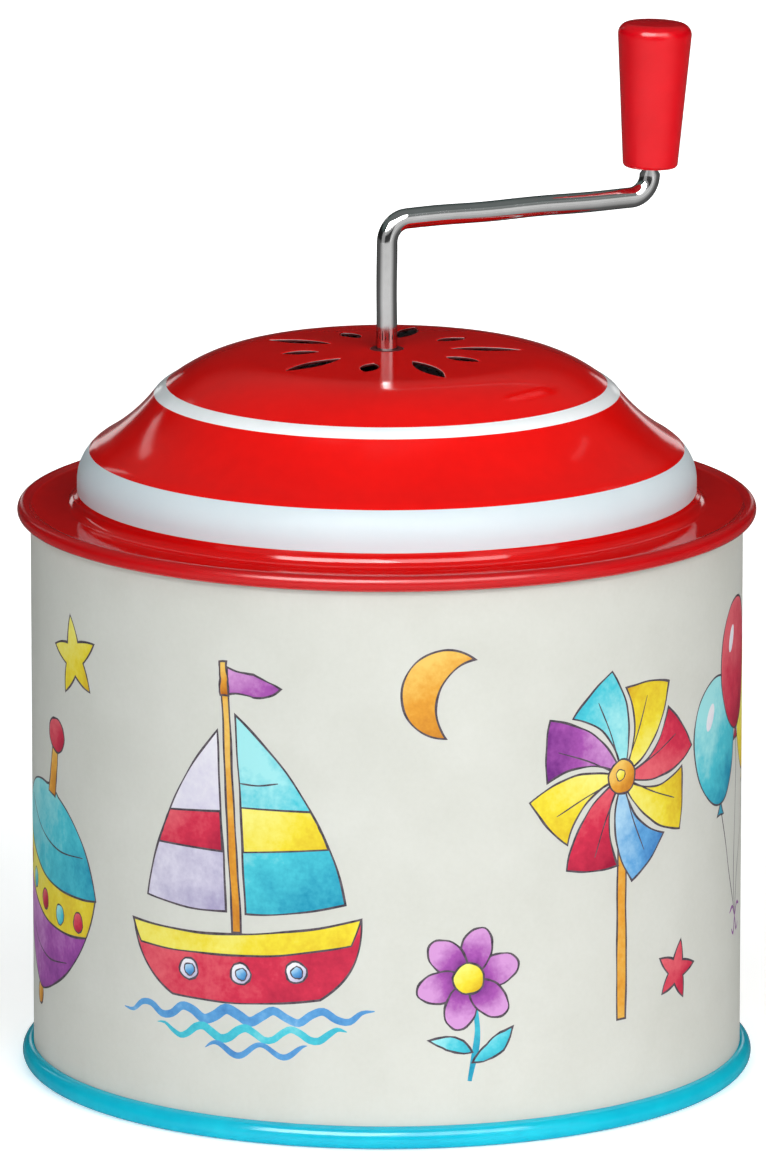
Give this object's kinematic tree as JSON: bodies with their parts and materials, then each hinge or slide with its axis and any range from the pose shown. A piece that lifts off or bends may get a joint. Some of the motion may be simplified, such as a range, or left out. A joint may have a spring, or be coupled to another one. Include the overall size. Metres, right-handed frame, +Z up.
{
  "type": "hand crank tin music box",
  "caption": "Hand-cranked tin music box: round can with domed, slotted lid and a bent-wire crank whose spinning knob drives a worm, pinned cylinder and comb.",
  "frame": {"origin": "centre of the flat resting ring under the base, on the crank axis", "axes": "+Z up along the crank shaft, +X to the right of the front, +Y away from the front"},
  "size_m": [0.075, 0.075, 0.1052],
  "materials": {
    "can_print": null,
    "base_blue": "gloss enamel on tinplate",
    "lid_enamel": "gloss red enamel on tinplate with white band and ring",
    "crank_chrome": "polished chromium plate on steel wire",
    "knob_red": "gloss moulded plastic",
    "bush_nylon": "moulded nylon, dark red",
    "bush_brass": "turned",
    "worm_brass": "cut thread, turned",
    "drum_brass": "turned and polished",
    "spring_steel": "blued spring steel",
    "pin_steel": "ground",
    "arbor_steel": "ground",
    "screw_steel": "zinc plated",
    "plate_steel": "bare tinplate",
    "bracket_steel": "plated sheet",
    "frame_zinc": "die-cast zinc, as cast",
    "comb_steel": "ground and hardened",
    "weight_lead": "soft lead blocks",
    "wheel_nylon": "moulded nylon"
  },
  "bodies": {
    "case": {"can_body": "can_print", "base": "base_blue", "lid": "lid_enamel", "crank_bush": "bush_nylon", "movement_plate": "plate_steel", "movement_frame": "frame_zinc", "frame_screws": "screw_steel", "worm_bush": "bush_brass", "worm_bracket": "bracket_steel", "worm_bracket_screws": "screw_steel", "left_bearing_bracket": "bracket_steel", "right_bearing_bracket": "bracket_steel", "bearing_bracket_screws": "screw_steel", "comb": "comb_steel", "comb_screws": "screw_steel", "tuning_weights": "weight_lead"},
    "crank": {"crank_rod": "crank_chrome", "worm": "worm_brass", "crank_retainer": "spring_steel"},
    "knob": {"knob": "knob_red"},
    "cylinder": {"cylinder_drum": "drum_brass", "drum_pins": "pin_steel", "cylinder_arbor": "arbor_steel", "worm_wheel": "wheel_nylon", "end_cap_left": "drum_brass", "end_cap_right": "drum_brass"}
  },
  "joints": [
    {"name": "crank_turn", "type": "hinge", "parent": "case", "child": "crank", "pos_m": [0, 0, 0.0872], "axis": [0, 0, 1], "continuous": true},
    {"name": "knob_spin", "type": "hinge", "parent": "crank", "child": "knob", "pos_m": [0.02676, 0.01334, 0.0872], "axis": [0.0312, 0.0156, 0.9994], "continuous": true},
    {"name": "cylinder_turn", "type": "hinge", "parent": "case", "child": "cylinder", "pos_m": [0, 0.00876, 0.047], "axis": [1, 0, 0], "continuous": true}
  ],
  "couplings": [
    {"joint": "cylinder_turn", "follows": "crank_turn", "ratio": 0.0625}
  ]
}
